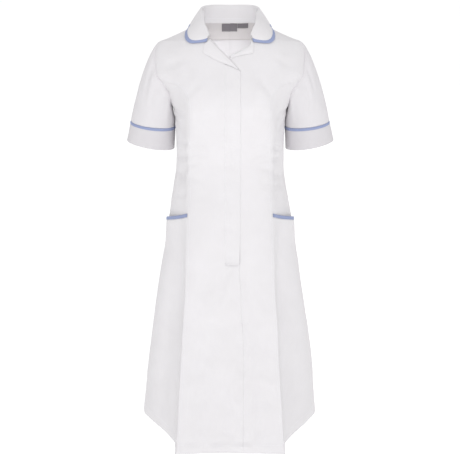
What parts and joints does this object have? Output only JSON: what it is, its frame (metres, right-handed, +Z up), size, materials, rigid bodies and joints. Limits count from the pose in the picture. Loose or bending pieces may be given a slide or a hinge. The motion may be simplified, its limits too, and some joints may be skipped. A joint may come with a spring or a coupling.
{
  "type": "nurse uniform dress",
  "caption": "White short-sleeved nurse uniform dress worn and empty, with a blue-trimmed collar, cuffs and pockets, a covered front zip and an A-line skirt.",
  "frame": {"origin": "midway between the innermost points of the two shoulder seams, where the dress hangs from its wearer's shoulders and neck", "axes": "+Z up towards the neck, -Y the way the wearer faces, +X to the wearer's left"},
  "size_m": [0.5208, 0.3823, 1.0935],
  "materials": {
    "white_cloth": "plain-woven polycotton, matt",
    "blue_trim": "pale blue bias binding, matt",
    "grey_label": "plain woven label, matt"
  },
  "bodies": {
    "root": {"front_right": "white_cloth", "front_left": "white_cloth", "side_front_right": "white_cloth", "side_front_left": "white_cloth", "side_skirt_right": "white_cloth", "side_skirt_left": "white_cloth", "back_left": "white_cloth", "back_right": "white_cloth", "sleeve_right": "white_cloth", "sleeve_left": "white_cloth", "cuff_right": "white_cloth", "cuff_left": "white_cloth", "zip_fly": "white_cloth", "revere_right": "white_cloth", "revere_left": "white_cloth", "collar": "white_cloth", "neck_facing": "white_cloth", "collar_trim": "blue_trim", "cuff_trim_right": "blue_trim", "cuff_trim_left": "blue_trim", "pocket_trim_right": "blue_trim", "pocket_trim_left": "blue_trim", "neck_label": "grey_label", "size_tab": "grey_label"}
  },
  "joints": []
}
